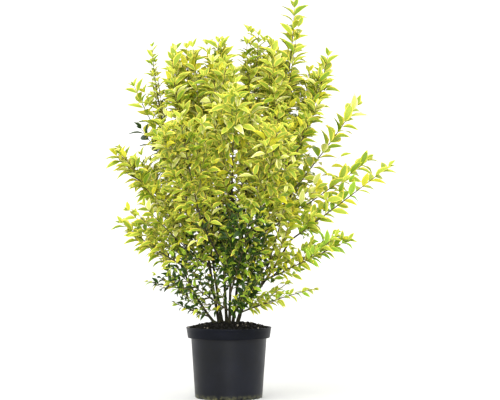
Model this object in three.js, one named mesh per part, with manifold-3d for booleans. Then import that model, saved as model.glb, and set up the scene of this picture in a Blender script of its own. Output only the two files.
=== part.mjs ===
// A golden privet shrub in a round nursery pot: one clump of stems, boughs and leafy sprays.
// Millimetres, +Z up. The origin is the centre of the pot's flat underside. The front looks along +Y,
// so +X is to the right and +Y is the back.
import * as THREE from "three";
import { mergeVertices } from "three/addons/utils/BufferGeometryUtils.js";
import Module from "manifold-3d";

const wasm = await Module();
wasm.setup();

const GAP = 0.3; // between pieces that meet
const SMALLEST_DETAIL = 0.05; // corners that stand out less than this are smoothed away

// Pot: a tapered body under a wide rim band, with drain slots round its foot
const POT_HEIGHT = 185;
const RIM_TOP_RADIUS = 112.5;
const RIM_FOOT_RADIUS = 108.5;
const RIM_DEPTH = 28;
const BODY_TOP_RADIUS = 99.5;
const BODY_FOOT_RADIUS = 88.5;
const POT_WALL = 2.4;
const POT_FLOOR = 3;
const POT_EDGE = 2.5; // the size of its softened edges
const POT_LEDGE = POT_HEIGHT - RIM_DEPTH;
const ROUND_STEPS = 32;
const DRAIN_SLOTS = 8;
const DRAIN_WIDTH = 26;
const DRAIN_HEIGHT = 3.2;
const DRAIN_INNER_RADIUS = 72;
const DRAIN_TURN = 78; // degrees from +X to the first slot

// Soil: fills the pot and mounds up round the stems
const SOIL_BELOW_RIM = 6;
const SOIL_ABOVE_RIM = 9;
const SOIL_FLAT_RADIUS = 46;
const SOIL_SHOULDER_RADIUS = 82;
const GROUND = POT_HEIGHT + SOIL_ABOVE_RIM + GAP;

// Wood
const FLARE = 1.5; // what a stem's radius gains at the ground
const FLARE_HEIGHT = 16;
const TAPER_POWER = 0.8;
const STRAIGHT_LENGTH = 80; // of one straight piece of a limb or shoot
const STEM_SIDES = 8;
const BOUGH_SIDES = 6;
const TWIG_SIDES = 3;
const SHOOT_RADIUS = 2.6; // the most that a shoot has at its foot
const SHOOT_SHARE = 0.9; // of its limb's radius, where the limb is thin
const SHOOT_TIP_RADIUS = 1.1;
const SHOOT_UPTURN = 0.05;
const SHOOT_ROOT = 1; // how far a shoot that carries on from a limb starts inside its end
const TWIG_RADIUS = 1.7;

// Leaves: fewer than life and larger, so that the crown stays full
const LEAF_LENGTH = 66;
const LEAF_WIDTH = 36;
const LEAF_KEEL = 3; // depth of the midrib below the blade
const LEAF_WIDEST = 0.45;
const LEAF_DROOP = 0.12;
const LEAF_ANGLE = 48; // degrees between a leaf and its twig
const END_LEAF_ANGLE = 18;
const LEAF_ROLL = 100; // degrees of its blade's turn about its midrib, from the least to the most
const LEAF_SIZES = [1.05, 0.75]; // from the foot of a shoot to its tip
const TWIG_LEAF_SIZE = 0.9;
const LAST_LEAF_SIZE = 0.8;
const LAST_LEAF = 40; // how far a shoot's last leaves reach past it
const GREEN_HEIGHT = 510; // sprays that end lower are in the shade and stay green
const LEAF_TRIES = [[0, 1], [0.5, 0.9], [-0.5, 0.9], [0, 0.7]]; // turn in radians and size, until one fits

// Growth: opposite pairs, each turned a quarter from the last
const NODE_SPACING = 40; // between pairs on a slim spray
const BUSHY_SPACING = 38;
const BUSHY_GIRTH = 66; // a spray at least this wide has side twigs and larger leaves
const BUSHY_LEAF = 1.24;
const FIRST_NODE = 0.1; // shares of a shoot's length
const LAST_TWIG = 0.8;
const LAST_NODE = 0.94;
const TWIG_ANGLE = 52;
const TWIG_LIFT = 0.16; // how far a twig turns up, as a share of its length
const TWIG_REACHES = [1.15, 0.65]; // shares of the room beside a shoot, from its foot to its tip
const TWIG_LEAF_ROOM = 24; // kept between a twig and the edge of its spray's space
const TWIG_TRIES = [1, 0.75, 0.5];
const TWIG_PAIR = 0.5; // shares of a twig's length
const TWIG_END = 0.85;
const ROOT_DEPTH = 12; // the length of a leaf or twig that may cross its own spray
const SPACE_MARGIN = 2;
const VARIATION = 0.2; // of sizes and angles, from the least to the most
const TURN_VARIATION = 0.6; // radians
const LINE_STEPS = 8;
const SEED_STEP = 7919;

// Places are [azimuth, reach, height]: degrees from +X towards +Y, then millimetres from the pot's axis
// and above its underside. A limb or shoot bends outwards by its upturn, as a share of its length, and one
// whose upturn is negative arches over.
const STEMS = {
  stem_left: { foot: [175, 25], tip: [173, 89, 690], radii: [4.1, 2.6], upturn: 0.03 },
  stem_far_left: { foot: [204, 38], tip: [193, 128, 349], radii: [3.4, 2.2], upturn: 0.08 },
  stem_middle: { foot: [130, 9], tip: [135, 28, 700], radii: [3.8, 2.6], upturn: 0.02 },
  stem_rear: { foot: [70, 30], tip: [64, 117, 690], radii: [3.8, 2.6], upturn: 0.05 },
  stem_back_left: { foot: [118, 38], tip: [116, 150, 560], radii: [3.6, 2.5], upturn: 0.06 },
  stem_right: { foot: [-5, 22], tip: [9, 133, 700], radii: [4.7, 2.7], upturn: 0.04 },
  stem_front: { foot: [-86, 27], tip: [-85, 115, 560], radii: [3.6, 2.5], upturn: 0.06 },
};

// A bough grows on another limb, at a share of that limb's length
const BOUGHS = {
  bough_upper_left: { on: "stem_left", at: 0.55, tip: [178, 166, 690], radii: [2.5, 2], upturn: 0.07 },
  bough_left_arm: { on: "stem_left", at: 0.38, tip: [189, 162, 488], radii: [2.7, 2.1], upturn: 0.08 },
  bough_far_right: { on: "stem_right", at: 0.07, tip: [-9, 162, 412], radii: [3.6, 2.5], upturn: 0.06 },
  bough_upper_right: { on: "stem_right", at: 0.62, tip: [-5, 178, 640], radii: [2.5, 2], upturn: 0.06 },
  bough_right: { on: "stem_right", at: 0.42, tip: [10, 173, 545], radii: [2.7, 2.1], upturn: 0.07 },
  bough_low_right: { on: "bough_far_right", at: 0.45, tip: [-16, 144, 340], radii: [2.3, 1.8], upturn: 0.06 },
  bough_front_left: { on: "stem_front", at: 0.35, tip: [-115, 165, 470], radii: [2.5, 2], upturn: 0.08 },
  bough_front_right: { on: "stem_front", at: 0.42, tip: [-61, 166, 490], radii: [2.5, 2], upturn: 0.08 },
  bough_middle_front: { on: "stem_middle", at: 0.5, tip: [-117, 67, 650], radii: [2.5, 2], upturn: 0.05 },
  bough_rear_right: { on: "stem_rear", at: 0.35, tip: [47, 198, 490], radii: [2.5, 2], upturn: 0.08 },
  bough_rear_left: { on: "stem_back_left", at: 0.4, tip: [143, 192, 450], radii: [2.5, 2], upturn: 0.08 },
};

// Each spray is one mass of foliage. Its shoot leaves its limb at a share of that limb's length, its last
// leaf ends at its tip, and its twigs and leaves stay within its girth of the shoot.
const SPRAYS = {
  spray_top_left: { on: "stem_left", at: 1, tip: [172, 114, 950], girth: 70 },
  spray_left_shoulder: { on: "stem_left", at: 0.86, tip: [191, 156, 914], girth: 68 },
  spray_left_front: { on: "stem_left", at: 0.42, tip: [214, 200, 712], girth: 90 },
  spray_left_spire: { on: "bough_upper_left", at: 1, tip: [180, 206, 952], girth: 54, leaf: 0.8 },
  spray_left_upper: { on: "bough_upper_left", at: 0.75, tip: [184, 260, 842], girth: 56 },
  spray_left_back: { on: "bough_upper_left", at: 0.5, tip: [173, 250, 732], girth: 58 },
  spray_left_arm: { on: "bough_left_arm", at: 1, tip: [186, 308, 662], girth: 70 },
  spray_left_skirt: { on: "stem_left", at: 0.3, tip: [195, 242, 522], girth: 84 },
  spray_far_left: { on: "stem_far_left", at: 1, tip: [187, 299, 474], girth: 74 },
  spray_low_left: { on: "stem_far_left", at: 0.6, tip: [184, 236, 312], girth: 60, leaf: 0.75 },
  spray_foot_left: { on: "stem_far_left", at: 0.14, tip: [202, 172, 262], girth: 52, leaf: 0.6 },
  spray_top_middle: { on: "stem_middle", at: 1, tip: [146, 33, 966], girth: 82 },
  spray_upper_front: { on: "bough_middle_front", at: 1, tip: [-93, 106, 880], girth: 88 },
  spray_upper_rear: { on: "stem_middle", at: 0.7, tip: [117, 140, 890], girth: 84 },
  spray_top_rear: { on: "stem_rear", at: 1, tip: [54, 136, 998], girth: 84 },
  spray_rear_right: { on: "bough_rear_right", at: 1, tip: [60, 285, 680], girth: 92 },
  spray_rear: { on: "stem_rear", at: 0.6, tip: [73, 262, 750], girth: 92 },
  spray_back_left: { on: "stem_back_left", at: 1, tip: [120, 240, 820], girth: 92 },
  spray_rear_left: { on: "bough_rear_left", at: 1, tip: [143, 300, 650], girth: 92 },
  spray_rear_skirt: { on: "stem_back_left", at: 0.4, tip: [98, 245, 500], girth: 90 },
  spray_leader: { on: "stem_right", at: 1, tip: [8, 177, 1060], girth: 54, leaf: 1.1 },
  spray_second_leader: { on: "stem_right", at: 0.85, tip: [-14, 108, 952], girth: 72 },
  spray_right_shoulder: { on: "bough_upper_right", at: 0.6, tip: [12, 222, 890], girth: 60 },
  spray_right_spire: { on: "bough_upper_right", at: 1, tip: [-4, 268, 924], girth: 60 },
  spray_right_upper: { on: "bough_right", at: 1, tip: [5, 356, 794], girth: 56, leaf: 1.15, upturn: 0.02 },
  spray_right_reach: { on: "bough_right", at: 0.3, tip: [4, 390, 640], girth: 56, leaf: 1.1, upturn: 0.02 },
  spray_right_back: { on: "bough_right", at: 0.65, tip: [42, 262, 722], girth: 80 },
  spray_right_front: { on: "stem_right", at: 0.5, tip: [-38, 165, 770], girth: 84 },
  spray_far_right: { on: "bough_far_right", at: 1, tip: [-4, 440, 622], girth: 56, upturn: 0.01 },
  spray_right_skirt: { on: "bough_far_right", at: 0.35, tip: [-40, 200, 548], girth: 78 },
  spray_low_right: { on: "bough_low_right", at: 0.2, tip: [-8, 338, 424], girth: 60, leaf: 1.2, upturn: 0 },
  spray_foot_right: { on: "stem_right", at: 0.06, tip: [-12, 252, 292], girth: 52, leaf: 0.85, upturn: -0.04 },
  spray_front: { on: "stem_front", at: 1, tip: [-86, 225, 800], girth: 92 },
  spray_front_right: { on: "bough_front_right", at: 1, tip: [-62, 270, 705], girth: 92 },
  spray_front_left: { on: "bough_front_left", at: 1, tip: [-118, 258, 742], girth: 92 },
  spray_front_skirt: { on: "stem_front", at: 0.22, tip: [-74, 225, 490], girth: 90, leaf: 0.85 },
  spray_middle_front: { on: "stem_middle", at: 0.3, tip: [-104, 142, 595], girth: 90 },
  spray_middle_rear: { on: "stem_rear", at: 0.15, tip: [76, 120, 570], girth: 92 },
  spray_low_front_left: { on: "stem_front", at: 0.1, tip: [-146, 190, 354], girth: 86, leaf: 0.68 },
  spray_low_front_right: { on: "stem_front", at: 0.06, tip: [-57, 180, 338], girth: 76, leaf: 0.64 },
};

const plastic = new THREE.MeshStandardMaterial({ color: 0x2b2c2e, roughness: 0.45, metalness: 0 });
const compost = new THREE.MeshStandardMaterial({ color: 0x241b12, roughness: 0.95, metalness: 0 });
const bark = new THREE.MeshStandardMaterial({ color: 0x4c4030, roughness: 0.85, metalness: 0 });
const goldenLeaf = new THREE.MeshStandardMaterial({ color: 0xb4b93a, roughness: 0.5, metalness: 0 });
const greenLeaf = new THREE.MeshStandardMaterial({ color: 0x667433, roughness: 0.5, metalness: 0 });

const UP = new THREE.Vector3(0, 0, 1);
const radians = THREE.MathUtils.degToRad;
const lerp = THREE.MathUtils.lerp;

function place([azimuth, reach, height]) {
  const angle = radians(azimuth);
  return new THREE.Vector3(reach * Math.cos(angle), reach * Math.sin(angle), height);
}

// A repeatable stream of numbers from 0 to 1
function randomStream(seed) {
  let state = seed;
  return () => {
    state = (Math.imul(state, 1664525) + 1013904223) >>> 0;
    return state / 2 ** 32;
  };
}

// Solids and meshes

function solidOf(geometry) {
  const bare = geometry.clone();
  bare.deleteAttribute("normal");
  bare.deleteAttribute("uv");
  const merged = mergeVertices(bare);
  const vertProperties = merged.attributes.position.array;
  const triVerts = new Uint32Array(merged.index.array);
  return new wasm.Manifold(new wasm.Mesh({ numProp: 3, vertProperties, triVerts }));
}

function meshOf(solid, name, material) {
  const made = solid.getMesh();
  const geometry = new THREE.BufferGeometry();
  geometry.setAttribute("position", new THREE.BufferAttribute(made.vertProperties, made.numProp));
  geometry.setIndex(new THREE.BufferAttribute(made.triVerts, 1));
  geometry.computeVertexNormals();
  const mesh = new THREE.Mesh(geometry, material);
  mesh.name = name;
  return mesh;
}

function cornersOf(solid) {
  const { vertProperties, numProp, numVert } = solid.getMesh();
  return Array.from({ length: numVert }, (_, i) =>
    new THREE.Vector3().fromArray(vertProperties, i * numProp));
}

// A solid with its box, which rules most meetings out quickly
function boxed(solid) {
  const { min, max } = solid.boundingBox();
  const box = new THREE.Box3(new THREE.Vector3(...min), new THREE.Vector3(...max)).expandByScalar(GAP);
  return { solid, box };
}

function isClear(solid, others) {
  const { box } = boxed(solid);
  return others.every((other) => !box.intersectsBox(other.box) || solid.minGap(other.solid, 2 * GAP) > GAP);
}

function largestBody(solid) {
  return solid.decompose().reduce((best, body) => (body.volume() > best.volume() ? body : best));
}

// Pot and soil

function turned(profile) {
  const points = profile.map(([radius, height]) => new THREE.Vector2(radius, height));
  return solidOf(new THREE.LatheGeometry(points, ROUND_STEPS).rotateX(Math.PI / 2));
}

function potShell() {
  return turned([
    [0, 0],
    [BODY_FOOT_RADIUS - POT_EDGE, 0],
    [BODY_FOOT_RADIUS, POT_EDGE],
    [BODY_TOP_RADIUS, POT_LEDGE - POT_EDGE],
    [BODY_TOP_RADIUS + POT_EDGE / 2, POT_LEDGE],
    [RIM_FOOT_RADIUS, POT_LEDGE],
    [RIM_TOP_RADIUS, POT_HEIGHT - POT_EDGE / 2],
    [RIM_TOP_RADIUS - POT_EDGE / 3, POT_HEIGHT],
    [RIM_TOP_RADIUS - POT_WALL, POT_HEIGHT],
    [RIM_FOOT_RADIUS - POT_WALL, POT_LEDGE + POT_WALL],
    [BODY_TOP_RADIUS - POT_WALL, POT_LEDGE + POT_WALL - POT_EDGE],
    [BODY_FOOT_RADIUS - POT_WALL, POT_FLOOR],
    [0, POT_FLOOR],
  ]);
}

function buildPot() {
  const depth = BODY_FOOT_RADIUS + POT_EDGE - DRAIN_INNER_RADIUS;
  const slot = new THREE.BoxGeometry(depth, DRAIN_WIDTH, 2 * DRAIN_HEIGHT);
  slot.translate(DRAIN_INNER_RADIUS + depth / 2, 0, 0);
  let pot = potShell();
  for (let i = 0; i < DRAIN_SLOTS; i++) {
    const turn = radians(DRAIN_TURN + (i * 360) / DRAIN_SLOTS);
    pot = pot.subtract(solidOf(slot.clone().rotateZ(turn)));
  }
  return pot;
}

function buildSoil() {
  const wall = POT_WALL + GAP;
  const edge = POT_HEIGHT - SOIL_BELOW_RIM;
  const crown = POT_HEIGHT + SOIL_ABOVE_RIM;
  const upRim = (edge - POT_LEDGE) / RIM_DEPTH;
  const rimRadius = lerp(RIM_FOOT_RADIUS, RIM_TOP_RADIUS, upRim);
  return turned([
    [0, POT_FLOOR + GAP],
    [BODY_FOOT_RADIUS - wall, POT_FLOOR + GAP],
    [BODY_TOP_RADIUS - wall, POT_LEDGE + POT_WALL - POT_EDGE + GAP],
    [RIM_FOOT_RADIUS - wall, POT_LEDGE + POT_WALL + GAP],
    [rimRadius - wall, edge],
    [SOIL_SHOULDER_RADIUS, crown - SOIL_ABOVE_RIM / 2],
    [SOIL_FLAT_RADIUS, crown],
    [0, crown],
  ]);
}

// Curves and rods

// A curve from start to end that bulges outwards and down, so that it leaves flat and ends steep
function rising(start, end, upturn) {
  const chord = new THREE.Vector3().subVectors(end, start);
  const along = chord.clone().normalize();
  const outward = new THREE.Vector3(end.x, end.y, 0).normalize();
  const bulge = outward.addScaledVector(along, -outward.dot(along)).normalize();
  const middle = start.clone().addScaledVector(chord, 0.5).addScaledVector(bulge, upturn * chord.length());
  return new THREE.QuadraticBezierCurve3(start, middle, end);
}

// The same curve, ended a length before its end
function cutShort(curve, length) {
  const share = 1 - length / curve.getLength();
  const middle = curve.v0.clone().lerp(curve.v1, share);
  return new THREE.QuadraticBezierCurve3(curve.v0, middle, curve.getPoint(share));
}

// The same curve, run on a little past its end
function runOn(curve, length) {
  const end = curve.v2.clone().addScaledVector(curve.getTangent(1), length);
  return new THREE.QuadraticBezierCurve3(curve.v0, curve.v1, end);
}

// Two directions square to a line and to each other
function squareTo(direction) {
  const steep = Math.abs(direction.z) > 0.9;
  const reference = steep ? new THREE.Vector3(1, 0, 0) : UP;
  const side = new THREE.Vector3().crossVectors(reference, direction).normalize();
  const face = new THREE.Vector3().crossVectors(side, direction).normalize();
  return { side, face };
}

function stepsFor(curve) {
  return Math.max(2, Math.round(curve.getLength() / STRAIGHT_LENGTH));
}

// A cylinder or cone bent along a curve, with its own radius at each share of the way
function bentRod({ curve, steps }, radiusAt, sides, pointed) {
  const geometry = new THREE.CylinderGeometry(pointed ? 0 : 1, 1, 1, sides, steps);
  const position = geometry.attributes.position;
  const fixed = squareTo(curve.v2.clone().sub(curve.v0).normalize()).side;
  for (let i = 0; i < position.count; i++) {
    const share = position.getY(i) + 0.5;
    const tangent = curve.getTangent(share);
    const side = fixed.clone().addScaledVector(tangent, -fixed.dot(tangent)).normalize();
    const face = new THREE.Vector3().crossVectors(side, tangent);
    const spread = Math.hypot(position.getX(i), position.getZ(i));
    const scale = spread > 0 ? radiusAt(share) / spread : 0;
    const point = curve
      .getPoint(share)
      .addScaledVector(side, position.getX(i) * scale)
      .addScaledVector(face, position.getZ(i) * scale);
    position.setXYZ(i, point.x, point.y, point.z);
  }
  return solidOf(geometry);
}

// The point of a bent rod's own middle line, which is straight from one ring to the next
function onRod({ curve, steps }, share) {
  const ring = Math.min(steps - 1, Math.floor(share * steps));
  const before = curve.getPoint(ring / steps);
  return before.lerp(curve.getPoint((ring + 1) / steps), share * steps - ring);
}

// Stems and boughs

// A limb keeps a slightly larger copy of itself, which cuts what grows on it
function makeLimb(curve, [footRadius, tipRadius], sides, flare) {
  const length = curve.getLength();
  const steps = stepsFor(curve);
  const radiusAt = (share) => {
    const taper = lerp(tipRadius, footRadius, (1 - share) ** TAPER_POWER);
    return taper + flare * Math.exp((-share * length) / FLARE_HEIGHT);
  };
  const solid = bentRod({ curve, steps }, radiusAt, sides, false);
  const cutter = bentRod({ curve: runOn(curve, GAP), steps }, (share) => radiusAt(share) + GAP, sides, false);
  return { curve, radiusAt, solid, cutter };
}

function buildStem({ foot, tip, radii, upturn }) {
  const start = place([...foot, GROUND - FLARE]);
  const stem = makeLimb(rising(start, place(tip), upturn), radii, STEM_SIDES, FLARE);
  stem.solid = stem.solid.trimByPlane(UP.toArray(), GROUND);
  return stem;
}

function buildBough({ on, at, tip, radii, upturn }, limbs) {
  const start = limbs[on].curve.getPoint(at);
  const bough = makeLimb(rising(start, place(tip), upturn), radii, BOUGH_SIDES, 0);
  bough.solid = bough.solid.subtract(limbs[on].cutter);
  return bough;
}

function buildLimbs() {
  const limbs = {};
  for (const [name, row] of Object.entries(STEMS)) limbs[name] = buildStem(row);
  for (const [name, row] of Object.entries(BOUGHS)) limbs[name] = buildBough(row, limbs);
  return limbs;
}

// Twigs and leaves

// The way that a side growth leaves its twig, and the way that its upper face looks
function sideways(tangent, turn, angle) {
  const { side, face } = squareTo(tangent);
  const away = side.multiplyScalar(Math.cos(turn)).addScaledVector(face, Math.sin(turn));
  const direction = tangent.clone().multiplyScalar(Math.cos(angle)).addScaledVector(away, Math.sin(angle));
  const upper = tangent.clone().add(UP);
  const normal = upper.addScaledVector(direction, -upper.dot(direction)).normalize();
  return { direction, normal };
}

// A sphere of three sides, pulled out along its direction: two corners are the edges of the blade, the third
// is the keel below its midrib, and the tip bends down
function leafSolid(base, { direction, normal }, size) {
  const geometry = new THREE.SphereGeometry(1, 3, 2);
  const position = geometry.attributes.position;
  const side = new THREE.Vector3().crossVectors(normal, direction);
  const length = LEAF_LENGTH * size;
  for (let i = 0; i < position.count; i++) {
    const pole = Math.round(position.getY(i));
    const along = pole === 0 ? LEAF_WIDEST : (pole + 1) / 2;
    const sideShare = position.getZ(i) / Math.sin(Math.PI / 3);
    const keel = Math.min(position.getX(i), 0) * LEAF_KEEL * size;
    const droop = pole === 1 ? LEAF_DROOP * length : 0;
    const point = base
      .clone()
      .addScaledVector(direction, along * length)
      .addScaledVector(side, (sideShare * LEAF_WIDTH * size) / 2)
      .addScaledVector(normal, keel - droop);
    position.setXYZ(i, point.x, point.y, point.z);
  }
  return solidOf(geometry);
}

// A twig leaves along a direction and turns up towards its end
function twigCurve(start, direction, length) {
  const middle = start.clone().addScaledVector(direction, length / 2);
  const end = start.clone().addScaledVector(direction, length).addScaledVector(UP, TWIG_LIFT * length);
  return new THREE.QuadraticBezierCurve3(start, middle, end);
}

// Sprays

class Spray {
  constructor(name, { on, at, tip, girth, leaf = 1, upturn = SHOOT_UPTURN }, limbs, seed) {
    const parent = limbs[on];
    const start = parent.curve.getPoint(at);
    if (at === 1) start.addScaledVector(parent.curve.getTangent(1), -SHOOT_ROOT);
    this.name = name;
    this.girth = girth;
    this.bushy = girth >= BUSHY_GIRTH;
    this.leafSize = this.bushy ? leaf * BUSHY_LEAF : leaf;
    const curve = cutShort(rising(start, place(tip), upturn), LAST_LEAF * this.leafSize);
    this.rod = { curve, steps: stepsFor(curve) };
    this.line = curve.getPoints(LINE_STEPS);
    const radius = Math.min(SHOOT_SHARE * parent.radiusAt(at), SHOOT_RADIUS);
    const radiusAt = (share) => lerp(radius, SHOOT_TIP_RADIUS, share);
    this.shoot = boxed(bentRod(this.rod, radiusAt, TWIG_SIDES, true).subtract(parent.cutter));
    this.pieces = [];
    this.random = randomStream(seed);
  }

  varied(value) {
    return value * (1 + (this.random() - 0.5) * VARIATION);
  }

  // The distance from a point to the shoot, in girths
  remoteness(point) {
    const nearest = new THREE.Vector3();
    const distances = this.line.slice(1).map((end, i) => {
      new THREE.Line3(this.line[i], end).closestPointToPoint(point, true, nearest);
      return nearest.distanceTo(point);
    });
    return Math.min(...distances) / this.girth;
  }

  // A spray owns the points within its girth that are less remote from it than from any other spray
  owns(point, others) {
    const own = this.remoteness(point);
    const isNearest = (other) =>
      other.remoteness(point) - own > SPACE_MARGIN * (1 / other.girth + 1 / this.girth);
    return own < 1 && others.every(isNearest);
  }

  // Keeps a twig or leaf that stays in this spray's space, clear of the limbs and of all other growth
  keeps(solid, base, direction, corners, neighbours) {
    if (!corners.every((corner) => this.owns(corner, neighbours.sprays))) return false;
    if (!isClear(solid, neighbours.solids)) return false;
    const beyondRoot = solid.trimByPlane(direction.toArray(), direction.dot(base) + ROOT_DEPTH);
    if (!isClear(beyondRoot, this.pieces)) return false;
    this.pieces.push(boxed(solid));
    return true;
  }

  addLeaf(rod, share, turn, angle, size, neighbours) {
    const base = onRod(rod, share);
    const roll = radians(LEAF_ROLL) * (this.random() - 0.5);
    for (const [swing, smaller] of LEAF_TRIES) {
      const way = sideways(rod.curve.getTangent(share), turn + swing, radians(angle));
      way.normal.applyAxisAngle(way.direction, roll);
      const leaf = leafSolid(base, way, size * smaller * this.leafSize);
      if (this.keeps(leaf, base, way.direction, cornersOf(leaf), neighbours)) return;
    }
  }

  addPair(rod, share, turn, size, neighbours) {
    for (const half of [0, Math.PI]) {
      const angle = this.varied(LEAF_ANGLE);
      this.addLeaf(rod, share, turn + half, angle, this.varied(size), neighbours);
    }
  }

  // A side twig, long low on the shoot and short near its tip, with one pair of leaves and one at its end
  addTwig(share, turn, neighbours) {
    const start = onRod(this.rod, share);
    const angle = radians(this.varied(TWIG_ANGLE));
    const { direction } = sideways(this.rod.curve.getTangent(share), turn, angle);
    const room = this.girth - TWIG_LEAF_ROOM * this.leafSize;
    const reach = this.varied(room * lerp(...TWIG_REACHES, share));
    for (const shorter of TWIG_TRIES) {
      const rod = { curve: twigCurve(start, direction, reach * shorter), steps: 1 };
      const twig = bentRod(rod, (along) => TWIG_RADIUS * (1 - along), TWIG_SIDES, true);
      const corners = [onRod(rod, TWIG_PAIR), rod.curve.v2];
      if (!this.keeps(twig, start, direction, corners, neighbours)) continue;
      this.addLeaf(rod, TWIG_END, turn, END_LEAF_ANGLE, TWIG_LEAF_SIZE, neighbours);
      this.addPair(rod, TWIG_PAIR, turn + Math.PI / 2, TWIG_LEAF_SIZE, neighbours);
      return;
    }
  }

  grow(neighbours) {
    const spacing = this.bushy ? BUSHY_SPACING : NODE_SPACING;
    const nodes = Math.round((this.rod.curve.getLength() * LAST_NODE) / spacing);
    const start = this.random() * Math.PI;
    for (let i = 0; i < nodes; i++) {
      const share = lerp(FIRST_NODE, LAST_NODE, (i + 0.5) / nodes);
      const turn = start + (i * Math.PI) / 2 + (this.random() - 0.5) * TURN_VARIATION;
      if (this.bushy && i % 2 === 0 && share < LAST_TWIG) {
        this.addTwig(share, turn, neighbours);
        this.addTwig(share, turn + Math.PI, neighbours);
      } else {
        this.addPair(this.rod, share, turn, lerp(...LEAF_SIZES, share), neighbours);
      }
    }
    for (const half of [0, Math.PI]) {
      this.addLeaf(this.rod, LAST_NODE, start + half, END_LEAF_ANGLE, LAST_LEAF_SIZE, neighbours);
    }
  }

  fused() {
    const whole = this.pieces.reduce((sum, { solid }) => sum.add(solid), this.shoot.solid);
    return largestBody(whole).simplify(SMALLEST_DETAIL);
  }
}

function buildSprays(limbs) {
  const rows = Object.entries(SPRAYS);
  const sprays = rows.map(([name, row], i) => new Spray(name, row, limbs, SEED_STEP * (i + 1)));
  const wood = Object.values(limbs).map(({ solid }) => boxed(solid));
  for (const spray of sprays) {
    const others = sprays.filter((other) => other !== spray);
    const growth = others.flatMap(({ shoot, pieces }) => [shoot, ...pieces]);
    spray.grow({ sprays: others, solids: [...wood, ...growth] });
  }
  return sprays;
}

// Assembly

const shrub = new THREE.Group();
shrub.add(meshOf(buildPot(), "pot", plastic));
shrub.add(meshOf(buildSoil(), "soil", compost));
const limbs = buildLimbs();
for (const [name, limb] of Object.entries(limbs)) shrub.add(meshOf(limb.solid, name, bark));
for (const spray of buildSprays(limbs)) {
  const leafMaterial = SPRAYS[spray.name].tip[2] < GREEN_HEIGHT ? greenLeaf : goldenLeaf;
  shrub.add(meshOf(spray.fused(), spray.name, leafMaterial));
}

export default shrub;
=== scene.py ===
# Looks of a potted golden privet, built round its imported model: the pot, the soil, the limbs' bark, and the
# twigs and yellow-edged leaves of each spray. Sizes are millimetres until a mesh is made, and +Z is up.
import itertools
import math
import random

import bpy
import numpy as np
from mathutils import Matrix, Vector, noise


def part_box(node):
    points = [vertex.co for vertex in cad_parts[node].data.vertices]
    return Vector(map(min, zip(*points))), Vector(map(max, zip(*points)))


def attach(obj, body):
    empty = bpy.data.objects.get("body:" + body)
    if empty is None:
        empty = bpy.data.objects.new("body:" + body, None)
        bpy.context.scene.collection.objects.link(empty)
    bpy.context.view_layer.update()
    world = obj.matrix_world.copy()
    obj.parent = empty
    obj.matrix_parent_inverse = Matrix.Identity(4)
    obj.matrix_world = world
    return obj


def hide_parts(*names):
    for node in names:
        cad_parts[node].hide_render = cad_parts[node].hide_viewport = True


MM = 0.001
ROOT = "root"

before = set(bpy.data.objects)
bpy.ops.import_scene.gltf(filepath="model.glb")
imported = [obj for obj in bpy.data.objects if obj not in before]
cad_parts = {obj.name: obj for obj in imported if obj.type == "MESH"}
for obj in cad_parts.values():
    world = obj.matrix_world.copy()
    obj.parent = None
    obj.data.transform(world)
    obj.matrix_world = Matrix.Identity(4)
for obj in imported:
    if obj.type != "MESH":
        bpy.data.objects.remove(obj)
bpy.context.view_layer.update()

# Camera
IMAGE_WIDTH = 500  # pixels
MM_PER_PIXEL = 2.647
EYE = (56, -3700, 410)
TARGET = (56, 0, 520)
SENSOR_WIDTH = 36

# Studio, in metres
FLOOR_CORNERS = [(-8, -8, 0), (8, -8, 0), (8, 12, 0), (-8, 12, 0)]
WORLD_STRENGTH = 1.42
LAMP_TARGET = (0, 0, 0.6)
SUN_PLACE = (-1.3, -1.6, 2.4)
SUN_STRENGTH = 0.9
SUN_ANGLE = 50  # degrees across, so that its shadows are soft
STRIP_PLACE = (0.25, -4.4, 1.3)
STRIP_SIZE = (0.75, 2.2)
STRIP_POWER = 85

# Surfaces: roughness and specular level
MARGIN_SURFACE = (0.55, 0.14)
BLADE_SURFACE = (0.45, 0.2)
TWIG_SURFACE = (0.7, 0.3)
CRUMB_SURFACE = (0.9, 0.3)
FLOOR_SURFACE = (0.9, 0.1)

# Pot, as in the source of the solids
POT_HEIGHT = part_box("pot")[1].z / MM
RIM_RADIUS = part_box("pot")[1].x / MM
RIM_FOOT_RADIUS = 108.5
RIM_DEPTH = 28
BODY_TOP_RADIUS = 99.5
BODY_FOOT_RADIUS = 88.5
POT_WALL = 2.4
POT_FLOOR = 3
POT_LEDGE = POT_HEIGHT - RIM_DEPTH
DRAIN_SLOTS = 8
DRAIN_WIDTH = 26
DRAIN_HEIGHT = 3.2
DRAIN_INNER_RADIUS = 72
DRAIN_TURN = 78  # degrees from +X to the first slot

# Finer shape and shine of the pot
POT_SEGMENTS = 240
POT_STEP = 6  # about how far apart the rings of corners are
ARC_STEPS = 5
FOOT_ARC = 3.4
LEDGE_ARCS = (1.6, 1.8)  # where the ledge under the rim meets the body, and where it meets the rim
LIP_STAND = 0.9  # how far the rim's lip stands out, and how deep it is
LIP_DEPTH = 3.2
POT_SWAYS = ((0.22, 3, 60), (0.12, 7, -35))  # each wave's size, count round the wall, and lean with height
SWAY_FOOT = 12  # the sway starts at this height, grows over the next stretch, and ends over the last one
SWAY_GROWTH = 40
SWAY_END = 10
SWAY_RADIUS = 60  # what is nearer to the axis doesn't sway
BODY_SHINE = 0.22  # specular level: the rim's copy of the plastic is duller, so it shows darker, as painted shade
RIM_SHADED_SHINE = 0.1

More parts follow.
